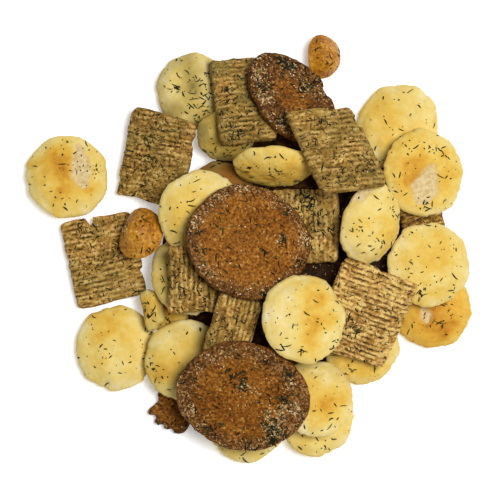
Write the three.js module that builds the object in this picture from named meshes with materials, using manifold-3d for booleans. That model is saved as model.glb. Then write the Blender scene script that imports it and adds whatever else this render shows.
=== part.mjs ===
// A loose heap of dill-seasoned snack mix on a level surface: puffed oyster crackers, shredded
// wheat squares, rye chips and corn nuggets, as one closed solid out to its uneven outline.
// Millimetres, +Z up. The origin is at the middle of the heap's footprint, on the surface it lies on.
import * as THREE from 'three';
import { mergeVertices } from 'three/addons/utils/BufferGeometryUtils.js';
import Module from 'manifold-3d';

const wasm = await Module();
wasm.setup();

// Each kind of piece: how far its crown rises and its belly drops from the middle plane, half the
// thickness of its edge, how square its outline is, how full its crown is, and its outline's lobes.
const KINDS = {
  oyster: { crown: 4.6, belly: 3.6, edge: 1.3, squareness: 2.0, fullness: 2.6, lobe: 0.012, lobes: 5 },
  bit: { crown: 3.6, belly: 3.0, edge: 1.5, squareness: 4.5, fullness: 2.6, lobe: 0.04, lobes: 3 },
  wheat: { crown: 3.4, belly: 3.0, edge: 1.9, squareness: 14.0, fullness: 3.0, lobe: 0.012, lobes: 3 },
  rye: { crown: 2.5, belly: 2.4, edge: 1.6, squareness: 2.1, fullness: 3.4, lobe: 0.022, lobes: 4 },
  shard: { crown: 2.4, belly: 2.3, edge: 1.6, squareness: 3.5, fullness: 3.4, lobe: 0.03, lobes: 3 },
  nugget: { crown: 6.0, belly: 5.2, edge: 0.9, squareness: 2.2, fullness: 2.0, lobe: 0.045, lobes: 3 },
};

// The pieces, from the lowest to the one laid on last. x and y are the middle, across and along the
// two sizes before the piece is turned by turn degrees. lean is given where a piece is propped up:
// the way that its crown faces and how steeply it stands, both in degrees. skew is given where a
// square was cut askew: how far its far edge is shifted sideways, as a share of the way there.
const PIECES = [
  // the lowest layer, most of it hidden
  { kind: 'oyster', x: -16.5, y: 47.7, across: 22.8, along: 23.8, turn: 10 },
  { kind: 'oyster', x: -6.7, y: 34.3, across: 16.4, along: 19.0, turn: 75 },
  { kind: 'oyster', x: -8.6, y: 16.1, across: 21.4, along: 21.4, turn: 20 },
  { kind: 'wheat', x: -43.5, y: -3.0, across: 22.4, along: 27.2, turn: 12 },
  { kind: 'oyster', x: -39.8, y: -29.8, across: 25.4, along: 26.4, turn: -4 },
  { kind: 'bit', x: -23.3, y: -19.0, across: 11.6, along: 13.0, turn: 8 },
  { kind: 'bit', x: -28.6, y: -17.6, across: 7.0, along: 12.6, turn: 12 },
  { kind: 'oyster', x: -18.2, y: -7.7, across: 23.0, along: 26.0, turn: 0 },
  { kind: 'oyster', x: -0.7, y: -52.9, across: 23.6, along: 23.6, turn: 50 },
  { kind: 'oyster', x: 20.8, y: -51.2, across: 24.0, along: 23.0, turn: 35 },
  { kind: 'oyster', x: 34.3, y: -29.3, across: 23.6, along: 23.6, turn: 65 },
  { kind: 'oyster', x: 55.8, y: -18.3, across: 24.2, along: 23.6, turn: 15 },
  { kind: 'oyster', x: 45.0, y: 37.3, across: 27.0, along: 24.4, turn: 48 },
  { kind: 'rye', x: 21.3, y: -15.6, across: 24.0, along: 24.0, turn: 0 },
  { kind: 'rye', x: 36.7, y: 6.5, across: 21.0, along: 27.0, turn: 0 },
  { kind: 'wheat', x: 52.6, y: 7.5, across: 14.0, along: 15.0, turn: 12 },
  { kind: 'shard', x: -22.4, y: -48.0, across: 15.4, along: 15.0, turn: -38 },
  { kind: 'nugget', x: 22.8, y: 58.1, across: 11.4, along: 13.9, turn: 0 },
  // the middle layer
  { kind: 'oyster', x: -54.6, y: 21.9, across: 25.4, along: 26.2, turn: 30 },
  { kind: 'nugget', x: -32.0, y: 4.6, across: 14.2, along: 16.6, turn: -20 },
  { kind: 'oyster', x: -19.1, y: -33.4, across: 25.2, along: 25.4, turn: 0 },
  { kind: 'oyster', x: 20.2, y: -44.7, across: 24.0, along: 24.0, turn: 60 },
  { kind: 'wheat', x: -1.6, y: 44.4, across: 18.0, along: 28.6, turn: 7 },
  { kind: 'wheat', x: -27.2, y: 27.5, across: 23.4, along: 29.0, turn: -12 },
  { kind: 'oyster', x: -14.0, y: 10.7, across: 26.6, along: 26.6, turn: 80 },
  { kind: 'wheat', x: -16.3, y: -9.0, across: 15.8, along: 20.8, turn: 0 },
  { kind: 'wheat', x: 17.0, y: 6.9, across: 21.8, along: 23.6, turn: 0 },
  { kind: 'oyster', x: 52.7, y: 22.9, across: 26.0, along: 27.2, turn: 22 },
  { kind: 'oyster', x: 54.2, y: -4.6, across: 25.8, along: 26.2, turn: 50 },
  { kind: 'rye', x: 13.2, y: 45.0, across: 33.5, along: 22.8, turn: -48 },
  { kind: 'oyster', x: 7.6, y: 25.0, across: 24.6, along: 22.0, turn: 0, lean: [-93, 62] },
  { kind: 'oyster', x: 36.5, y: 7.5, across: 19.4, along: 25.4, turn: -15, lean: [-25, 25] },
  { kind: 'wheat', x: 26.1, y: 29.5, across: 22.8, along: 27.6, turn: 8, skew: -0.28 },
  { kind: 'wheat', x: -4.5, y: -22.6, across: 14.5, along: 20.0, turn: -15 },
  // the top layer
  { kind: 'rye', x: 0.0, y: 2.1, across: 39.2, along: 36.0, turn: 0 },
  { kind: 'rye', x: -1.6, y: -43.8, across: 41.2, along: 35.8, turn: 0 },
  { kind: 'wheat', x: 34.5, y: -19.2, across: 25.0, along: 30.2, turn: -21 },
  { kind: 'oyster', x: 16.4, y: -20.7, across: 26.4, along: 27.4, turn: 0 },
];

const CRUMB_BED = { x: 8.0, y: -3.0, radius: 35, height: 6 }; // the mound of crumbs under the middle
const BED_FOOT = 0.8; // how steep the mound's foot is: the power of its cosine profile
const BED_RINGS = 6; // facets from the mound's middle to its foot
const BED_SEGMENTS = 20; // facets round the mound
const GROWN = 0.4; // how far each form stands proud, so that touching pieces join into one body
const FILLED = 0.76; // the share of a piece's outline below which the heap is solid
const FILLED_SEGMENTS = 8; // facets round that filling
const GROUND_DEPTH = 10; // how far down the ground is cut away
const SAME_POINT = 1e-4; // how near two points have to be to become one
const FIELD_HALF = 90; // half the side of the square in which heights are kept
const CELL = 0.5; // the side of one cell of that square
const STEEPEST = 0.45; // the steepest slope at which a piece comes to rest by itself
const FIRST_CHANGE = 0.16; // the first change of slope that is tried when a piece settles
const LAST_CHANGE = 0.004; // changes of slope smaller than this are no longer tried
const LEAST_DROP = 1e-4; // how much lower a piece has to come to lie for a slope to be better
const WAYS = 8; // how many ways round a piece may rock
const RINGS = 36; // rings of points on which one side of a piece is felt
const RING_GROWTH = 4; // how many more points each ring has than the one inside it
const CROWN_SHARES = [0, 0.5, 0.84, 1]; // where a form's crown has facets, out to its edge
const BELLY_SHARES = [1, 0.7, 0]; // where its belly has them, back in to the middle
const SEGMENTS = { oyster: 16, bit: 12, wheat: 16, rye: 16, shard: 12, nugget: 12 }; // facets round each kind
const BAKED_BROWN = 0xc99a4a;

// The radius of a piece's edge at an angle, as a share of its half sizes: a superellipse that
// passes from a disc to a square as squareness grows, with a few soft lobes.
function edgeAt(kind, angle) {
  const { squareness, lobe, lobes } = KINDS[kind];
  const corner = Math.abs(Math.cos(angle)) ** squareness + Math.abs(Math.sin(angle)) ** squareness;
  return corner ** (-1 / squareness) * (1 - lobe + lobe * Math.cos(lobes * angle));
}

// The height of the surface at a share of the way out to the edge, above or below the middle plane.
function riseAt(kind, share, side) {
  const { crown, belly, edge, fullness } = KINDS[kind];
  const full = side > 0 ? crown : belly;
  return side * (edge + (full - edge) * (1 - share ** fullness));
}

// A place on a piece's middle plane, given as shares of its half sizes.
function planePoint(piece, across, along, z) {
  const y = (piece.along / 2) * along;
  return new THREE.Vector3((piece.across / 2) * across + (piece.skew ?? 0) * y, y, z);
}

// Turns a piece about its own axis and then leans it: its crown comes to face the slope's way.
function poseOf(piece, slope) {
  const steepness = Math.hypot(slope[0], slope[1]);
  const axis = new THREE.Vector3(-slope[1], slope[0], 0).normalize();
  const leaning = new THREE.Quaternion();
  if (steepness > 0) leaning.setFromAxisAngle(axis, Math.atan(steepness));
  const turning = new THREE.Quaternion().setFromAxisAngle(
    new THREE.Vector3(0, 0, 1), THREE.MathUtils.degToRad(piece.turn));
  return leaning.multiply(turning);
}

// Points spread evenly over one side of a piece, from its middle to its edge.
function sidePoints(piece, side) {
  const points = [];
  for (let ring = 0; ring <= RINGS; ring += 1) {
    const share = ring / RINGS;
    const steps = Math.max(1, RING_GROWTH * ring);
    for (let step = 0; step < steps; step += 1) {
      const angle = (2 * Math.PI * step) / steps;
      const reach = share * edgeAt(piece.kind, angle);
      const height = riseAt(piece.kind, share, side);
      points.push(planePoint(piece, reach * Math.cos(angle), reach * Math.sin(angle), height));
    }
  }
  return points;
}

// The heights of what already lies there, one number for each cell.
const cellsAcross = (2 * FIELD_HALF) / CELL;
const heights = new Float64Array(cellsAcross * cellsAcross);

function cellOf(x, y) {
  const column = Math.floor((x + FIELD_HALF) / CELL);
  const row = Math.floor((y + FIELD_HALF) / CELL);
  return row * cellsAcross + column;
}

// How high the middle of a posed piece stays when it is let down on what lies there.
function restHeight(piece, belly, pose) {
  let lift = -Infinity;
  const at = new THREE.Vector3();
  for (const point of belly) {
    at.copy(point).applyQuaternion(pose);
    lift = Math.max(lift, heights[cellOf(at.x + piece.x, at.y + piece.y)] - at.z);
  }
  return lift;
}

// The slope at which a piece lies lowest, found by trying eight ways round the best slope so far
// with ever smaller changes, as a loose piece rocks until it comes to rest.
function settledSlope(piece, belly) {
  let best = [0, 0];
  let lowest = restHeight(piece, belly, poseOf(piece, best));
  for (let change = FIRST_CHANGE; change > LAST_CHANGE; change /= 2) {
    for (let moved = true; moved;) {
      moved = false;
      for (let way = 0; way < WAYS; way += 1) {
        const angle = (2 * Math.PI * way) / WAYS;
        const slope = [best[0] + change * Math.cos(angle), best[1] + change * Math.sin(angle)];
        if (Math.hypot(slope[0], slope[1]) > STEEPEST) continue;
        const height = restHeight(piece, belly, poseOf(piece, slope));
        if (height < lowest - LEAST_DROP) {
          lowest = height;
          best = slope;
          moved = true;
        }
      }
    }
  }
  return best;
}

// Lays a piece on the heap and raises the heights by it. Returns its pose and its middle's height.
function layDown(piece) {
  const belly = sidePoints(piece, -1);
  let slope;
  if (piece.lean) {
    const [way, angle] = piece.lean.map(THREE.MathUtils.degToRad);
    slope = [Math.tan(angle) * Math.cos(way), Math.tan(angle) * Math.sin(way)];
  } else {
    slope = settledSlope(piece, belly);
  }
  const pose = poseOf(piece, slope);
  const lift = restHeight(piece, belly, pose);
  for (const point of sidePoints(piece, 1)) {
    const at = point.applyQuaternion(pose);
    const cell = cellOf(at.x + piece.x, at.y + piece.y);
    heights[cell] = Math.max(heights[cell], at.z + lift);
  }
  return { pose, lift };
}

// A piece's closed form: a profile spun round its axis, then pulled out to the piece's outline.
function pieceGeometry(piece) {
  const { kind } = piece;
  const profile = [];
  for (const share of CROWN_SHARES) {
    profile.push(new THREE.Vector2(share, riseAt(kind, share, 1) + GROWN));
  }
  for (const share of BELLY_SHARES) {
    profile.push(new THREE.Vector2(share, riseAt(kind, share, -1) - GROWN));
  }
  const geometry = new THREE.LatheGeometry(profile.reverse(), SEGMENTS[kind]);
  geometry.rotateX(Math.PI / 2);
  const at = geometry.attributes.position;
  const grown = { ...piece, across: piece.across + 2 * GROWN, along: piece.along + 2 * GROWN };
  for (let i = 0; i < at.count; i += 1) {
    const reach = edgeAt(kind, Math.atan2(at.getY(i), at.getX(i)));
    const point = planePoint(grown, at.getX(i) * reach, at.getY(i) * reach, at.getZ(i));
    at.setXYZ(i, point.x, point.y, point.z);
  }
  return geometry;
}

// The filling under a posed piece: a column from its middle plane down into the ground, a little
// smaller than the piece, for what lies hidden there.
function fillingGeometry(piece, pose, lift) {
  const geometry = new THREE.CylinderGeometry(FILLED, FILLED, GROUND_DEPTH, FILLED_SEGMENTS);
  geometry.rotateX(Math.PI / 2);
  const at = geometry.attributes.position;
  for (let i = 0; i < at.count; i += 1) {
    const reach = edgeAt(piece.kind, Math.atan2(at.getY(i), at.getX(i)));
    const point = planePoint(piece, at.getX(i) * reach, at.getY(i) * reach, 0).applyQuaternion(pose);
    const height = at.getZ(i) > 0 ? point.z + lift : -GROUND_DEPTH / 2;
    at.setXYZ(i, piece.x + point.x, piece.y + point.y, height);
  }
  return geometry;
}

// The mound of crumbs: a low dome with a flat underside, and its height over a point.
function moundHeight(distance) {
  const share = Math.min(1, distance / CRUMB_BED.radius);
  return CRUMB_BED.height * Math.cos((Math.PI / 2) * share) ** BED_FOOT;
}

function moundGeometry() {
  const profile = [new THREE.Vector2(0, 0), new THREE.Vector2(CRUMB_BED.radius, 0)];
  for (let ring = BED_RINGS - 1; ring >= 0; ring -= 1) {
    const distance = (CRUMB_BED.radius * ring) / BED_RINGS;
    profile.push(new THREE.Vector2(distance, moundHeight(distance)));
  }
  const geometry = new THREE.LatheGeometry(profile, BED_SEGMENTS);
  geometry.rotateX(Math.PI / 2);
  geometry.translate(CRUMB_BED.x, CRUMB_BED.y, 0);
  return geometry;
}

function raiseByMound() {
  for (let row = 0; row < cellsAcross; row += 1) {
    for (let column = 0; column < cellsAcross; column += 1) {
      const x = (column + 0.5) * CELL - FIELD_HALF - CRUMB_BED.x;
      const y = (row + 0.5) * CELL - FIELD_HALF - CRUMB_BED.y;
      heights[row * cellsAcross + column] = moundHeight(Math.hypot(x, y));
    }
  }
}

// What the heap lies on, down to which its lowest pieces are worn flat.
function groundGeometry() {
  const ground = new THREE.BoxGeometry(2 * FIELD_HALF, 2 * FIELD_HALF, GROUND_DEPTH);
  return ground.translate(0, 0, -GROUND_DEPTH / 2);
}

// A closed geometry as a solid that can be joined.
function solidOf(geometry) {
  geometry.deleteAttribute('normal');
  geometry.deleteAttribute('uv');
  const merged = mergeVertices(geometry, SAME_POINT);
  return new wasm.Manifold(new wasm.Mesh({
    numProp: 3,
    vertProperties: new Float32Array(merged.attributes.position.array),
    triVerts: new Uint32Array(merged.index.array),
  }));
}

// The outer skin of a joined solid: the hollows shut in between pieces, whose skins face inwards
// and so have a volume below zero, are left out. Every piece has to touch the rest.
function outerBody(solid) {
  const outer = solid.decompose().filter((body) => body.volume() > 0);
  if (outer.length > 1) throw new Error('a piece lies apart from the heap');
  return outer[0];
}

function heapSolid() {
  raiseByMound();
  let heap = solidOf(moundGeometry());
  for (const piece of PIECES) {
    const { pose, lift } = layDown(piece);
    const geometry = pieceGeometry(piece);
    geometry.applyQuaternion(pose);
    geometry.translate(piece.x, piece.y, lift);
    heap = heap.add(solidOf(geometry)).add(solidOf(fillingGeometry(piece, pose, lift)));
  }
  return outerBody(heap.subtract(solidOf(groundGeometry())));
}

function geometryOf(solid) {
  const mesh = solid.getMesh();
  const geometry = new THREE.BufferGeometry();
  geometry.setAttribute('position', new THREE.BufferAttribute(mesh.vertProperties, 3));
  geometry.setIndex(new THREE.BufferAttribute(mesh.triVerts, 1));
  return geometry;
}

const bakedCrackers = new THREE.MeshStandardMaterial({ color: BAKED_BROWN, roughness: 0.85, metalness: 0 });
const heap = new THREE.Mesh(geometryOf(heapSolid()), bakedCrackers);
heap.name = 'snack_mix_heap';

// The origin is moved to the middle of the footprint.
heap.geometry.computeBoundingBox();
const middle = heap.geometry.boundingBox.getCenter(new THREE.Vector3());
heap.position.set(-middle.x, -middle.y, 0);

const group = new THREE.Group();
group.add(heap);

export default group;
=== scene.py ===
"""The looks of a loose heap of dill-seasoned snack mix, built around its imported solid.

The heap is laid again here piece by piece, as the solid was: every cracker, square, chip and nugget
is let down on what already lies there and rocks until it lies lowest. Sizes are in millimetres until
a mesh is made, which is in metres like the frame. The photograph looks straight down, with +X to its
right and +Y to its top.
"""

import math

import bpy
import numpy as np
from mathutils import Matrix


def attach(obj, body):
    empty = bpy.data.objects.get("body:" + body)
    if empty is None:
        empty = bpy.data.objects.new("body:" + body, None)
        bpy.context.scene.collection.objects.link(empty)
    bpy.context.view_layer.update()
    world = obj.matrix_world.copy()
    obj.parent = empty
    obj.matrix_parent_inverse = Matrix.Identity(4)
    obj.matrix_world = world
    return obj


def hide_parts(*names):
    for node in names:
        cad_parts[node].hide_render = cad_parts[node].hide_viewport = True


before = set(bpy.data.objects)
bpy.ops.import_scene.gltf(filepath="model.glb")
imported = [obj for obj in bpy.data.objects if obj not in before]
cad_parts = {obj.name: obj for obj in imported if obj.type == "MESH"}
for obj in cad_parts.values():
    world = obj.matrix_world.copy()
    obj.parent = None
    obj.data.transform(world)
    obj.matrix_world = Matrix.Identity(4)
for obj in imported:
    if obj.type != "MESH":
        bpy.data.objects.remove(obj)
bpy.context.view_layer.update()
MM = 0.001  # a millimetre in metres
NODE = "snack_mix_heap"
TAU = 2 * math.pi

# ---- What the heap is made of

# Each kind of piece: how far its crown rises and its belly drops from the middle plane, half the
# thickness of its edge, how square its outline is, how full its crown is, and its outline's lobes.
KINDS = {
    "oyster": dict(crown=4.6, belly=3.6, edge=1.3, squareness=2.0, fullness=2.6, lobe=0.012, lobes=5),
    "bit": dict(crown=3.6, belly=3.0, edge=1.5, squareness=4.5, fullness=2.6, lobe=0.04, lobes=3),
    "wheat": dict(crown=3.4, belly=3.0, edge=1.9, squareness=14.0, fullness=3.0, lobe=0.012, lobes=3),
    "rye": dict(crown=2.5, belly=2.4, edge=1.6, squareness=2.1, fullness=3.4, lobe=0.022, lobes=4),
    "shard": dict(crown=2.4, belly=2.3, edge=1.6, squareness=3.5, fullness=3.4, lobe=0.03, lobes=3),
    "nugget": dict(crown=6.0, belly=5.2, edge=0.9, squareness=2.2, fullness=2.0, lobe=0.045, lobes=3),
}

# The pieces, from the lowest to the one laid on last: name, kind, the middle's x and y, the size
# across and along before the piece is turned, and the turn in degrees. lean is given where a piece is
# propped up: the way that its crown faces and how steeply it stands, both in degrees. skew is given
# where a square was cut askew: how far its far edge is shifted sideways, as a share of the way there.
PIECES = [
    ("upper_left_round", "oyster", -16.5, 47.7, 22.8, 23.8, 10),
    ("broken_round", "oyster", -6.7, 34.3, 16.4, 19.0, 75),
    ("toasted_round", "oyster", -8.6, 16.1, 21.4, 21.4, 20),
    ("left_square", "wheat", -43.5, -3.0, 22.4, 27.2, 12),
    ("left_low_round", "oyster", -39.8, -29.8, 25.4, 26.4, -4),
    ("right_bit", "bit", -23.3, -19.0, 11.6, 13.0, 8),
    ("left_bit", "bit", -28.6, -17.6, 7.0, 12.6, 12),
    ("shaded_round", "oyster", -18.2, -7.7, 23.0, 26.0, 0),
    ("bottom_round", "oyster", -0.7, -52.9, 23.6, 23.6, 50),
    ("lower_right_low_round", "oyster", 20.8, -51.2, 24.0, 23.0, 35),
    ("under_square_round", "oyster", 34.3, -29.3, 23.6, 23.6, 65),
    ("right_split_round", "oyster", 55.8, -18.3, 24.2, 23.6, 15),
    ("upper_right_round", "oyster", 45.0, 37.3, 27.0, 24.4, 48),
    ("dark_chip", "rye", 21.3, -15.6, 24.0, 24.0, 0),
    ("hidden_chip", "rye", 36.7, 6.5, 21.0, 27.0, 0),
    ("tucked_square", "wheat", 52.6, 7.5, 14.0, 15.0, 12),
    ("chip_shard", "shard", -22.4, -48.0, 15.4, 15.0, -38),
    ("top_nugget", "nugget", 22.8, 58.1, 11.4, 13.9, 0),
    ("lone_round", "oyster", -54.6, 21.9, 25.4, 26.2, 30),
    ("left_nugget", "nugget", -32.0, 4.6, 14.2, 16.6, -20),
    ("layered_round", "oyster", -19.1, -33.4, 25.2, 25.4, 0),
    ("lower_right_round", "oyster", 20.2, -44.7, 24.0, 24.0, 60),
    ("top_square", "wheat", -1.6, 44.4, 18.0, 28.6, 7),
    ("upper_left_square", "wheat", -27.2, 27.5, 23.4, 29.0, -12),
    ("crescent_round", "oyster", -14.0, 10.7, 26.6, 26.6, 80),
    ("upright_grain_square", "wheat", -16.3, -9.0, 15.8, 20.8, 0),
    ("middle_square", "wheat", 17.0, 6.9, 21.8, 23.6, 0),
    ("right_toasted_round", "oyster", 52.7, 22.9, 26.0, 27.2, 22),
    ("right_round", "oyster", 54.2, -4.6, 25.8, 26.2, 50),
    ("top_chip", "rye", 13.2, 45.0, 33.5, 22.8, -48),
    ("standing_round", "oyster", 7.6, 25.0, 24.6, 22.0, 0, dict(lean=(-93, 62))),
    ("propped_round", "oyster", 36.5, 7.5, 19.4, 25.4, -15, dict(lean=(-25, 25))),
    ("upper_right_square", "wheat", 26.1, 29.5, 22.8, 27.6, 8, dict(skew=-0.28)),
    ("small_square", "wheat", -4.5, -22.6, 14.5, 20.0, -15),
    ("middle_chip", "rye", 0.0, 2.1, 39.2, 36.0, 0),
    ("lower_chip", "rye", -1.6, -43.8, 41.2, 35.8, 0),
    ("lower_right_square", "wheat", 34.5, -19.2, 25.0, 30.2, -21),
    ("topmost_round", "oyster", 16.4, -20.7, 26.4, 27.4, 0),
]

CRUMB_BED = dict(x=8.0, y=-3.0, radius=35, height=6)  # the mound of crumbs under the middle
BED_FOOT = 0.8  # how steep the mound's foot is: the power of its cosine profile
FIELD_HALF = 90  # half the side of the square in which heights are kept
CELL = 0.5  # the side of one cell of that square
STEEPEST = 0.45  # the steepest slope at which a piece comes to rest by itself
FIRST_CHANGE = 0.16  # the first change of slope that is tried when a piece settles
LAST_CHANGE = 0.004  # changes of slope smaller than this are no longer tried
LEAST_DROP = 1e-4  # how much lower a piece has to come to lie for a slope to be better
WAYS = 8  # how many ways round a piece may rock
RINGS = 36  # rings of points on which one side of a piece is felt
RING_GROWTH = 4  # how many more points each ring has than the last

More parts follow.
